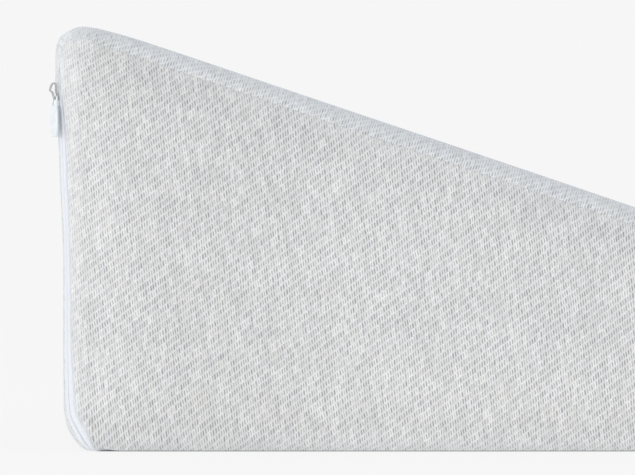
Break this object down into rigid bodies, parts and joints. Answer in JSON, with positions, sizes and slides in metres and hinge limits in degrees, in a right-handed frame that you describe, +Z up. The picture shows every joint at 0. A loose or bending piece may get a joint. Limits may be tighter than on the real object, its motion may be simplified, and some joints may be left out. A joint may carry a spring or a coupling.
{
  "type": "wedge cushion",
  "caption": "Wedge-shaped foam cushion in a removable twill cover, with a coil zipper down one rear edge and along the underside.",
  "frame": {"origin": "centre of the object's footprint box on the floor, at the underside", "axes": "+Z up, +X from the tall rear end down to the thin front end, +Y across the cushion; the zipper is on the -Y side"},
  "size_m": [0.5542, 0.61, 0.1915],
  "materials": {
    "foam": "matte",
    "cover_cloth": "matte",
    "zipper_tape": "matte",
    "zipper_coil": "matte",
    "zipper_stop": "satin",
    "slider": "satin",
    "crown": "satin",
    "pull": "satin",
    "thread": "matte"
  },
  "bodies": {
    "cushion": {"foam_core": "foam", "side_panel_near": "cover_cloth", "side_panel_far": "cover_cloth", "slope_panel": "cover_cloth", "rear_panel": "cover_cloth", "base_panel": "cover_cloth", "zipper_tape_side": "zipper_tape", "zipper_tape_wrap": "zipper_tape", "zipper_coil_side": "zipper_coil", "zipper_coil_wrap": "zipper_coil", "zipper_top_stops": "zipper_stop", "zipper_bottom_stop": "zipper_stop", "seam_thread_near": "thread", "seam_thread_far": "thread", "seam_thread_top_rear": "thread", "seam_thread_rear_base": "thread"},
    "slider": {"slider_body": "slider", "slider_crown": "crown"},
    "pull": {"pull_tab": "pull"}
  },
  "joints": [
    {"name": "slider_slide", "type": "slide", "parent": "cushion", "child": "slider", "axis": [0.0214, 0, -0.9998], "range_m": [0, 0.13]},
    {"name": "pull_swing", "type": "hinge", "parent": "slider", "child": "pull", "pos_m": [-0.27404, -0.30034, 0.1588], "axis": [-0.4999, 0.866, -0.0107], "range_deg": [0, 120]}
  ]
}
